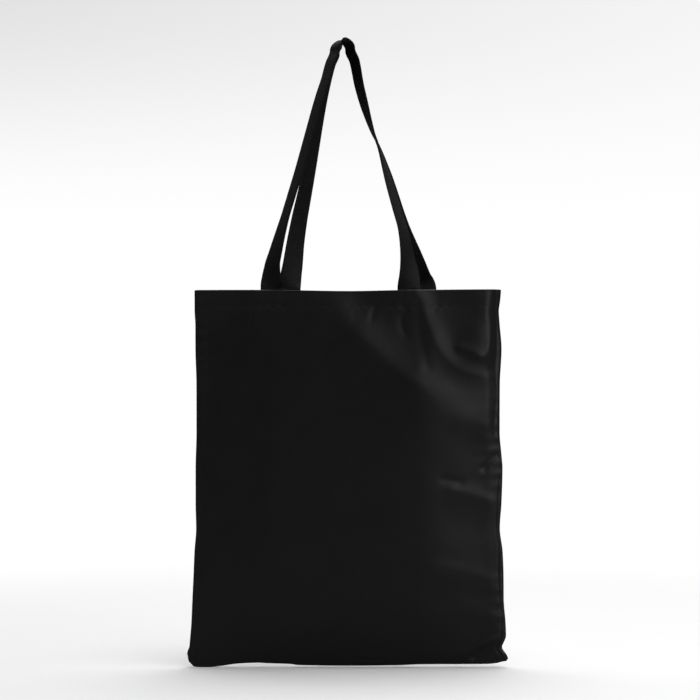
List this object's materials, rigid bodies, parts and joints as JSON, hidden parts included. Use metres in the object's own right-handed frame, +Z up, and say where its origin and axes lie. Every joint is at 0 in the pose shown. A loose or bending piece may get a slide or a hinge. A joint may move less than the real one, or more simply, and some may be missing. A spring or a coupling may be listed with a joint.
{
  "type": "tote bag",
  "caption": "Flat unlined shopper tote with a hemmed open mouth and two long webbing handles, shown empty and hanging by both handles.",
  "frame": {"origin": "middle of the bottom edge, on the plane between the two panels", "axes": "+X to the right seen from the front, +Y from the front panel to the back panel, +Z up towards the mouth and the handles"},
  "size_m": [0.355, 0.052, 0.6994],
  "materials": {
    "cloth": "smooth satin weave",
    "seam_allowance": "overlocked cloth edge",
    "webbing": "ribbed webbing",
    "thread": "sewing thread"
  },
  "bodies": {
    "seams": {"left_side_seam": "seam_allowance", "right_side_seam": "seam_allowance", "bottom_seam": "seam_allowance", "left_side_stitching": "thread", "right_side_stitching": "thread", "bottom_stitching": "thread"},
    "front_side": {"front_panel": "cloth", "front_hem": "cloth", "front_handle_ends": "webbing", "front_hem_stitching": "thread", "front_left_tack": "thread", "front_right_tack": "thread"},
    "back_side": {"back_panel": "cloth", "back_hem": "cloth", "back_handle_ends": "webbing", "back_hem_stitching": "thread", "back_left_tack": "thread", "back_right_tack": "thread"},
    "front_loop": {"front_handle": "webbing"},
    "back_loop": {"back_handle": "webbing"}
  },
  "joints": [
    {"name": "mouth_front", "type": "hinge", "parent": "seams", "child": "front_side", "pos_m": [0, -0.00165, 0], "axis": [1, 0, 0], "range_deg": [0, 5]},
    {"name": "mouth_back", "type": "hinge", "parent": "seams", "child": "back_side", "pos_m": [0, 0.00165, 0], "axis": [-1, 0, 0], "range_deg": [0, 5]},
    {"name": "front_handle_swing", "type": "hinge", "parent": "front_side", "child": "front_loop", "pos_m": [0, -0.0116, 0.4205], "axis": [1, 0, 0], "range_deg": [0, 150]},
    {"name": "back_handle_swing", "type": "hinge", "parent": "back_side", "child": "back_loop", "pos_m": [0, 0.0116, 0.4205], "axis": [-1, 0, 0], "range_deg": [0, 150]}
  ],
  "couplings": [
    {"joint": "mouth_back", "follows": "mouth_front", "ratio": 1}
  ]
}
